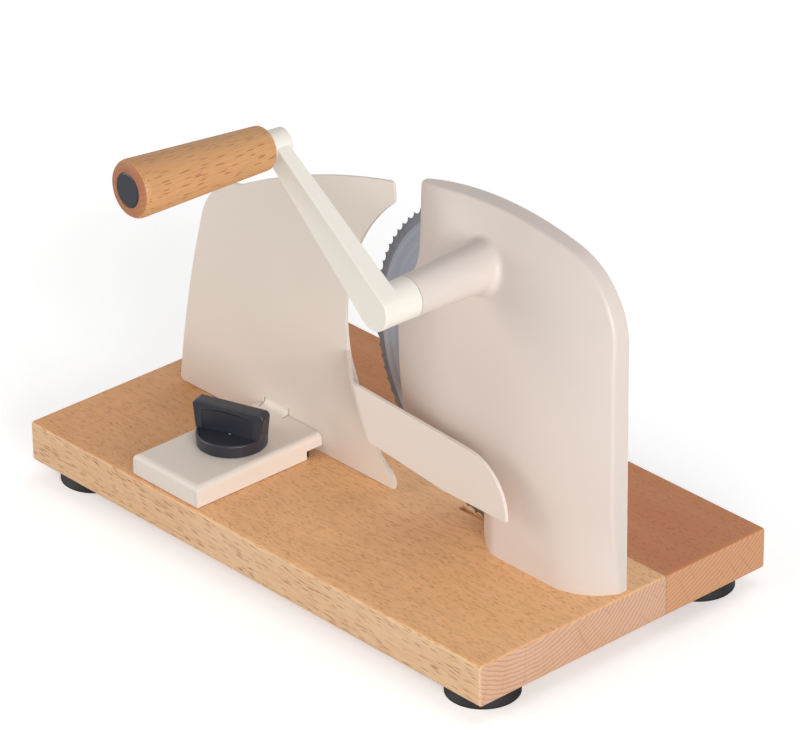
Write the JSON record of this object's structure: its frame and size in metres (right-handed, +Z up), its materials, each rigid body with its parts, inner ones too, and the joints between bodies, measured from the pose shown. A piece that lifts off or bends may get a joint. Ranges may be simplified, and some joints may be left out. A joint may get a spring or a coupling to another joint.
{
  "type": "bread slicer with crank",
  "caption": "Hand cranked bread slicer: serrated round blade in a cast housing on a wooden board, with a sliding stop plate, slice guide, clamping knob and turning wooden grip.",
  "frame": {"origin": "middle of the board's footprint, on the plane that the feet stand on", "axes": "+X to the right along the board's long front edge, +Y to the back, away from the crank, +Z up"},
  "size_m": [0.36, 0.2841, 0.2814],
  "materials": {
    "beech_board": "oiled",
    "beech_grip": "oiled",
    "painted_casting": "satin",
    "painted_arm": "satin",
    "painted_sheet": "satin",
    "blade_steel": "brushed",
    "steel_screws": "turned",
    "white_gears": "moulded",
    "bronze_bushes": "sintered",
    "brass_insert": "turned",
    "dark_plastic": "fine texture",
    "black_rail": "moulded",
    "black_rubber": "moulded"
  },
  "bodies": {
    "base": {"base_board": "beech_board", "suction_foot_front_left": "black_rubber", "suction_foot_front_right": "black_rubber", "suction_foot_rear_left": "black_rubber", "suction_foot_rear_right": "black_rubber", "foot_screws": "steel_screws", "gear_housing": "painted_casting", "housing_screws": "steel_screws", "crank_bush_front": "bronze_bushes", "crank_bush_rear": "bronze_bushes", "blade_axle": "steel_screws", "blade_cap_screw": "steel_screws", "guide_rail": "black_rail", "rail_screws": "steel_screws", "clamp_stud": "steel_screws"},
    "crank": {"crank_shaft": "steel_screws", "drive_pinion": "white_gears", "shaft_clip": "steel_screws", "crank_arm": "painted_arm", "crank_set_screw": "steel_screws", "grip_pin": "steel_screws", "grip_washer": "steel_screws"},
    "blade": {"blade_gear": "white_gears", "blade_bush": "bronze_bushes", "cutting_blade": "blade_steel", "blade_screws": "steel_screws"},
    "grip": {"hand_grip": "beech_grip", "grip_end_cap": "dark_plastic"},
    "plate": {"stop_plate": "painted_sheet"},
    "knob": {"clamp_knob": "dark_plastic", "knob_insert": "brass_insert", "knob_washer": "steel_screws"}
  },
  "joints": [
    {"name": "crank_spin", "type": "hinge", "parent": "base", "child": "crank", "pos_m": [0.091, -0.08, 0.19776], "axis": [0, 1, 0], "continuous": true},
    {"name": "blade_spin", "type": "hinge", "parent": "base", "child": "blade", "pos_m": [0.0807, 0.002, 0.1265], "axis": [0, 1, 0], "continuous": true},
    {"name": "grip_spin", "type": "hinge", "parent": "crank", "child": "grip", "pos_m": [0.01386, -0.0933, 0.26295], "axis": [0.0453, 0.9982, -0.0383], "continuous": true},
    {"name": "plate_slide", "type": "slide", "parent": "base", "child": "plate", "axis": [0, 1, 0], "range_m": [-0.0065, 0.0113]},
    {"name": "knob_turn", "type": "hinge", "parent": "base", "child": "knob", "pos_m": [-0.068, -0.053, 0.05], "axis": [0, 0, 1], "range_deg": [-20, 340]}
  ],
  "couplings": [
    {"joint": "blade_spin", "follows": "crank_spin", "ratio": -0.33333}
  ]
}
